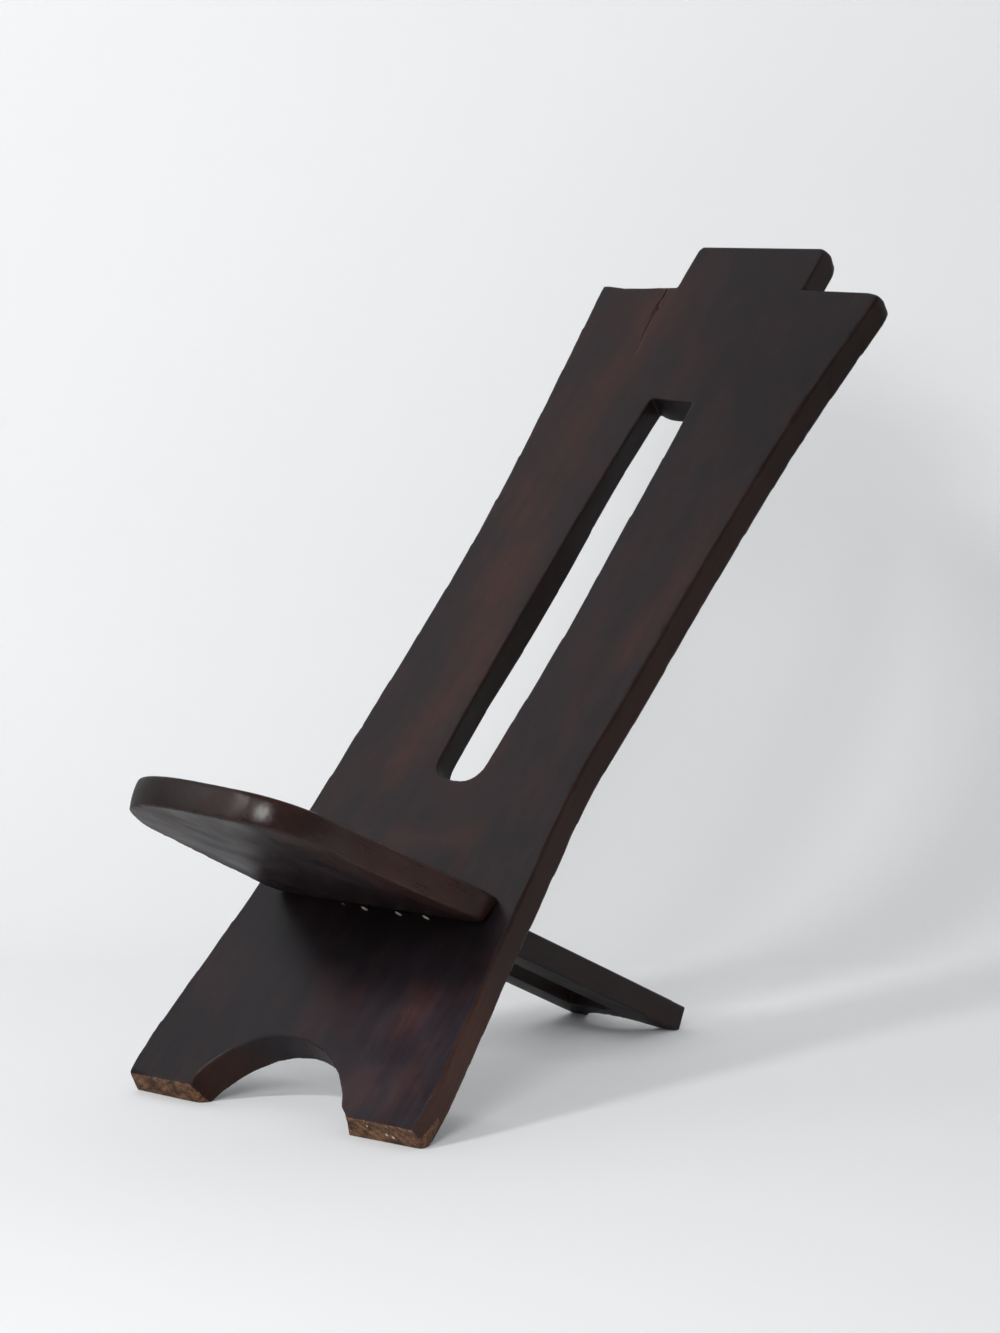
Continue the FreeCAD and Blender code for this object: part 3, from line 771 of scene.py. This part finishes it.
def stained_wood(name, finish, plank, heart, gloss):
    """Dark stained hardwood with its grain along the plank. Gloss is its roughness and its shine."""
    web = NodeWeb(name)
    roughness, shine = gloss
    place = plank_coordinates(web, plank)
    rings = growth_rings(web, place, heart)

    # Fibres, pores, the uneven stain, and the painted light and shade kept on the mesh
    fibre = web.noise(place, (620, 9, 620), detail=3, rough=0.6)
    pore = web.spread(web.noise(place, (1300, 55, 1300), detail=1), 0.62, 0.74)
    cloud = web.math("MULTIPLY", web.noise(place, (10, 3.2, 10), detail=2, distortion=0.4), 0.26)
    patch = web.noise(place, (28, 15, 28), detail=3, rough=0.55)
    blotch = web.noise(place, (46, 24, 46), detail=3)
    thin = web.math("MULTIPLY_ADD", web.spread(patch, 0.42, 0.72), 0.36, cloud)
    warmth = web.spread(patch, 0.2, 0.7, 0.55, 0.95)
    thin = web.math("MULTIPLY_ADD", web.attribute("warm"), warmth, thin, clamp=True)
    tone = web.mix(thin, colour(finish.dark_stain), colour(finish.red_stain))
    tone = web.mix(web.attribute("side"), tone, colour(finish.side_stain))
    tone_and_painted_light = web.math("MULTIPLY_ADD", fibre, 0.36, 0.82)
    for factor in (web.spread(blotch, 0.3, 0.7, 0.86, 1.14),
                   web.spread(rings, 0.0, 1.0, 1.03, 0.95),
                   web.spread(pore, 0.0, 1.0, 1.0, 0.75),
                   web.math("ADD", web.attribute("tone_and_painted_light"), 1.0)):
        tone_and_painted_light = web.math("MULTIPLY", tone_and_painted_light, factor)
    tone = web.mix(1.0, tone, tone_and_painted_light, "MULTIPLY")
    stroke = web.spread(web.noise(place, (130, 26, 130), detail=3, rough=0.6), 0.46, 0.66)
    stroke = web.math("MULTIPLY", stroke, web.attribute("strokes"))
    tone = web.mix(web.math("MULTIPLY", stroke, 0.55), tone, colour(finish.rubbed))

    # Rubbed edges, bare wood with its own rings, and pale splinters
    worn_noise = web.noise(place, (90, 30, 90), detail=3, rough=0.65)
    rub = web.math("MULTIPLY", web.attribute("worn"), web.spread(worn_noise, 0.42, 0.66))
    tone = web.mix(web.math("MULTIPLY", rub, 0.36), tone, colour(finish.rubbed))
    fleck = web.noise(place, (420, 420, 420), detail=3, rough=0.7)
    ragged = web.math("ADD", web.attribute("bare"), web.math("MULTIPLY_ADD", fleck, 0.9, -0.45))
    bare = web.spread(ragged, 0.38, 0.62)
    dirt = web.noise(place, (75, 75, 110), detail=4, rough=0.65)
    end_grain = web.spread(fleck, 0.3, 0.7, 0.55, 1.25)
    end_grain = web.math("MULTIPLY", end_grain, web.spread(rings, 0.0, 1.0, 1.1, 0.8))
    end_grain = web.math("MULTIPLY", end_grain, web.spread(dirt, 0.34, 0.62, 0.35, 1.15))
    raw = web.mix(1.0, colour(finish.bare_wood), end_grain, "MULTIPLY")
    tone = web.mix(bare, tone, raw)
    tone = web.mix(web.spread(web.attribute("chip"), 0.35, 0.6), tone, colour(finish.splinter))
    web.feed(web.shader.inputs["Base Color"], tone)

    # Satin that follows the grain, and relief from fibres and pores
    sheen = web.spread(blotch, 0.25, 0.75, roughness - 0.04, roughness + 0.06)
    sheen = web.math("ADD", sheen, web.math("MULTIPLY_ADD", fibre, 0.12, -0.06))
    sheen = web.math("MULTIPLY_ADD", web.attribute("dull"), 0.34, sheen)
    sheen = web.math("SUBTRACT", sheen, web.math("MULTIPLY", rub, 0.08))
    sheen = web.math("ADD", sheen, web.math("MULTIPLY", bare, 0.28), clamp=True)
    web.feed(web.shader.inputs["Roughness"], sheen)
    web.feed(web.shader.inputs["Specular IOR Level"], shine)
    relief = web.math("ADD", web.math("MULTIPLY", fibre, 0.6), web.math("MULTIPLY", pore, -0.12))
    relief = web.math("ADD", relief, web.math("MULTIPLY", web.math("MULTIPLY", fleck, bare), 1.2))
    bump = web.node("ShaderNodeBump", {"Height": relief, "Strength": 0.5, "Distance": 0.25 * MM})
    web.feed(web.shader.inputs["Normal"], bump.outputs[0])
    return web.material


def studio_paper(name, stage, one_sided):
    """Pale paper with painted light: paler up and to the left, and a plain white glow for the camera
    that fades into a painted contact shadow where something stands close. A one-sided sheet is clear
    from behind.
    """
    web = NodeWeb(name)
    place = web.node("ShaderNodeTexCoord").outputs["Object"]
    parts = web.node("ShaderNodeSeparateXYZ", {"Vector": place})
    # Painted light: the paper turns paler up and to the left.
    rise = web.math("MULTIPLY_ADD", parts.outputs[0], -0.4, parts.outputs[2])
    tone = web.mix(web.spread(rise, 0.0, 0.7), colour(stage.paper), colour(stage.painted_light_paper))
    web.feed(web.shader.inputs["Base Color"], tone)
    web.feed(web.shader.inputs["Roughness"], 0.9)
    web.feed(web.shader.inputs["Specular IOR Level"], 0.1)
    # Painted light: the paper glows plain white for the camera, lifting its shadows, and ambient
    # occlusion fades the glow into a painted contact shadow where something stands close.
    seen = web.node("ShaderNodeLightPath").outputs["Is Camera Ray"]
    glow = web.node("ShaderNodeEmission", {"Color": (1.0, 1.0, 1.0, 1.0), "Strength": 1.0})
    open_air = web.node("ShaderNodeAmbientOcclusion", {"Distance": stage.contact}, samples=2)
    openness = web.math("POWER", open_air.outputs["AO"], 1.5)
    share = web.math("MULTIPLY", web.math("MULTIPLY", seen, stage.glow), openness)
    surface = web.node("ShaderNodeMixShader", {0: share, 1: web.shader.outputs[0], 2: glow.outputs[0]})
    if one_sided:
        clear = web.node("ShaderNodeBsdfTransparent")
        behind = web.node("ShaderNodeNewGeometry").outputs["Backfacing"]
        inputs = {0: behind, 1: surface.outputs[0], 2: clear.outputs[0]}
        surface = web.node("ShaderNodeMixShader", inputs)
    web.feed(web.tree.nodes["Material Output"].inputs["Surface"], surface.outputs[0])
    return web.material


def carved_plank(node, place, carving, carve, mark):
    """A plank's carved and marked mesh, in its own frame."""
    mesh = dense_copy(node, place, carving)
    carve(mesh, carving)
    mark(mesh)
    return thinned(mesh, carving)


def place_plank(name, mesh, place, material, node):
    """Sets a carved plank in the row frame, in place of its CAD node."""
    mesh.transform(place)
    points = read_points(mesh)
    write_points(mesh, np.clip(points, CAD_BOX[0], CAD_BOX[1]))
    mesh.name = name
    mesh.materials.clear()
    mesh.materials.append(material)
    piece = bpy.data.objects.new(name, mesh)
    bpy.context.scene.collection.objects.link(piece)
    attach(piece, node)
    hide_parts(node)


class CHAIR_OT_back_plank(bpy.types.Operator):
    """Carve and stain the back plank"""

    bl_idname = "chair.back_plank"
    bl_label = "Back plank"
    bl_options = {"REGISTER", "UNDO"}

    def execute(self, context):
        carving, finish = context.scene.chair_carving, context.scene.chair_finish
        place = plank_frame(BACK, back_run())
        mesh = carved_plank(BACK, place, carving, carve_back, mark_back)
        gloss = (finish.back_roughness, finish.back_shine)
        wood = stained_wood("stained_back", finish, place, BACK_HEART, gloss)
        place_plank("carved_back", mesh, place, wood, BACK)
        return {"FINISHED"}


class CHAIR_OT_seat_plank(bpy.types.Operator):
    """Carve and stain the seat plank"""

    bl_idname = "chair.seat_plank"
    bl_label = "Seat plank"
    bl_options = {"REGISTER", "UNDO"}

    def execute(self, context):
        carving, finish = context.scene.chair_carving, context.scene.chair_finish
        place = plank_frame(SEAT, -SLIDE_AXIS.normalized())
        mesh = carved_plank(SEAT, place, carving, carve_seat, mark_seat)
        gloss = (finish.seat_roughness, finish.seat_shine)
        wood = stained_wood("stained_seat", finish, place, SEAT_HEART, gloss)
        place_plank("carved_seat", mesh, place, wood, SEAT)
        return {"FINISHED"}


def floor_mesh():
    """A round flat floor."""
    shape = bmesh.new()
    bmesh.ops.create_circle(shape, cap_ends=True, segments=96, radius=FLOOR_RADIUS)
    mesh = bpy.data.meshes.new("floor")
    shape.to_mesh(mesh)
    shape.free()
    return mesh


def sweep_mesh(ahead):
    """A backdrop that curves up from the floor, square to the camera's heading."""
    across = Vector((-ahead.y, ahead.x, 0))
    foot = CAMERA_PLACE.xy.to_3d() + ahead * (SWEEP_DISTANCE - SWEEP_RADIUS)
    steps = [radians(angle) for angle in range(0, 91, 5)]
    profile = [(SWEEP_RADIUS * sin(step), SWEEP_RADIUS * (1 - cos(step))) for step in steps]
    profile.append((SWEEP_RADIUS, SWEEP_HEIGHT))
    points = []
    for run, rise in profile:
        up = Vector((0, 0, rise + SWEEP_LIFT))
        for side in (-1, 1):
            points.append(foot + ahead * run + across * side * SWEEP_HALF_WIDTH + up)
    faces = [(low, low + 2, low + 3, low + 1) for low in range(0, len(points) - 2, 2)]
    mesh = bpy.data.meshes.new("backdrop")
    mesh.from_pydata(points, [], faces)
    for face in mesh.polygons:
        face.use_smooth = True
    return mesh


def stage_piece(name, mesh, material):
    """Adds a piece of the studio."""
    mesh.materials.append(material)
    piece = bpy.data.objects.new(name, mesh)
    bpy.context.scene.collection.objects.link(piece)


def add_lamp(name, place, size, power):
    """Adds a square lamp that faces the chair and isn't seen itself."""
    light = bpy.data.lights.new(name, "AREA")
    light.size = size
    light.energy = power
    lamp = bpy.data.objects.new(name, light)
    lamp.location = place
    lamp.rotation_euler = (LAMP_AIM - place).to_track_quat("-Z", "Y").to_euler()
    lamp.visible_camera = False
    bpy.context.scene.collection.objects.link(lamp)


def surround(stage):
    """The soft light all round, which the camera sees as plain paper."""
    world = bpy.data.worlds.new("surround")
    world.use_nodes = True
    nodes, links = world.node_tree.nodes, world.node_tree.links
    light = nodes["Background"]
    light.inputs["Color"].default_value = colour(stage.sky)
    light.inputs["Strength"].default_value = stage.sky_strength
    pale = nodes.new("ShaderNodeBackground")
    pale.inputs["Color"].default_value = colour(stage.paper)
    seen = nodes.new("ShaderNodeLightPath")
    both = nodes.new("ShaderNodeMixShader")
    links.new(seen.outputs["Is Camera Ray"], both.inputs[0])
    links.new(light.outputs[0], both.inputs[1])
    links.new(pale.outputs[0], both.inputs[2])
    links.new(both.outputs[0], nodes["World Output"].inputs["Surface"])
    return world


def photo_camera(stage):
    """A camera where the photograph was taken from."""
    camera = bpy.data.objects.new("camera", bpy.data.cameras.new("camera"))
    camera.data.lens = stage.focal_pixels * camera.data.sensor_width / FRAME_HEIGHT
    camera.location = CAMERA_PLACE
    camera.rotation_euler = (pi / 2 - stage.camera_pitch, 0, stage.camera_heading)
    return camera


class CHAIR_OT_stage(bpy.types.Operator):
    """Set up the floor, backdrop, lamps, surround and camera"""

    bl_idname = "chair.stage"
    bl_label = "Stage"
    bl_options = {"REGISTER", "UNDO"}

    def execute(self, context):
        scene, stage = context.scene, context.scene.chair_stage
        ahead = Vector((-sin(stage.camera_heading), cos(stage.camera_heading), 0))
        stage_piece("floor", floor_mesh(), studio_paper("floor_paper", stage, False))
        stage_piece("backdrop", sweep_mesh(ahead), studio_paper("backdrop_paper", stage, True))
        add_lamp("key", KEY_PLACE, stage.key_size, stage.key_power)
        add_lamp("panel", PANEL_PLACE, PANEL_SIZE, stage.panel_power)
        add_lamp("front", FRONT_PLACE, FRONT_SIZE, stage.front_power)
        scene.world = surround(stage)
        camera = photo_camera(stage)
        scene.collection.objects.link(camera)
        scene.camera = camera
        scene.view_settings.view_transform = "Standard"
        return {"FINISHED"}


class CHAIR_PT_panel(bpy.types.Panel):
    """Lists the pieces of the chair and its studio"""

    bl_idname = "CHAIR_PT_panel"
    bl_label = "Two-plank chair"
    bl_space_type = "VIEW_3D"
    bl_region_type = "UI"
    bl_category = "Chair"

    def draw(self, context):
        for operator in OPERATORS:
            self.layout.operator(operator.bl_idname)
        for key in GROUPS:
            group = getattr(context.scene, key)
            box = self.layout.box()
            for name in group.__annotations__:
                box.prop(group, name)


OPERATORS = (CHAIR_OT_back_plank, CHAIR_OT_seat_plank, CHAIR_OT_stage)
GROUPS = {"chair_carving": ChairCarving, "chair_finish": ChairFinish, "chair_stage": ChairStage}


def register():
    """Adds the settings, the operators and the panel."""
    for group in GROUPS.values():
        bpy.utils.register_class(group)
    for name, group in GROUPS.items():
        setattr(bpy.types.Scene, name, PointerProperty(type=group))
    for item in (*OPERATORS, CHAIR_PT_panel):
        bpy.utils.register_class(item)


def unregister():
    """Takes away all that register added."""
    for item in (CHAIR_PT_panel, *reversed(OPERATORS)):
        bpy.utils.unregister_class(item)
    for name in GROUPS:
        delattr(bpy.types.Scene, name)
    for group in reversed(GROUPS.values()):
        bpy.utils.unregister_class(group)


def main():
    """Builds the chair and its studio."""
    register()
    bpy.ops.chair.back_plank()
    bpy.ops.chair.seat_plank()
    bpy.ops.chair.stage()


if __name__ == "__main__":
    main()
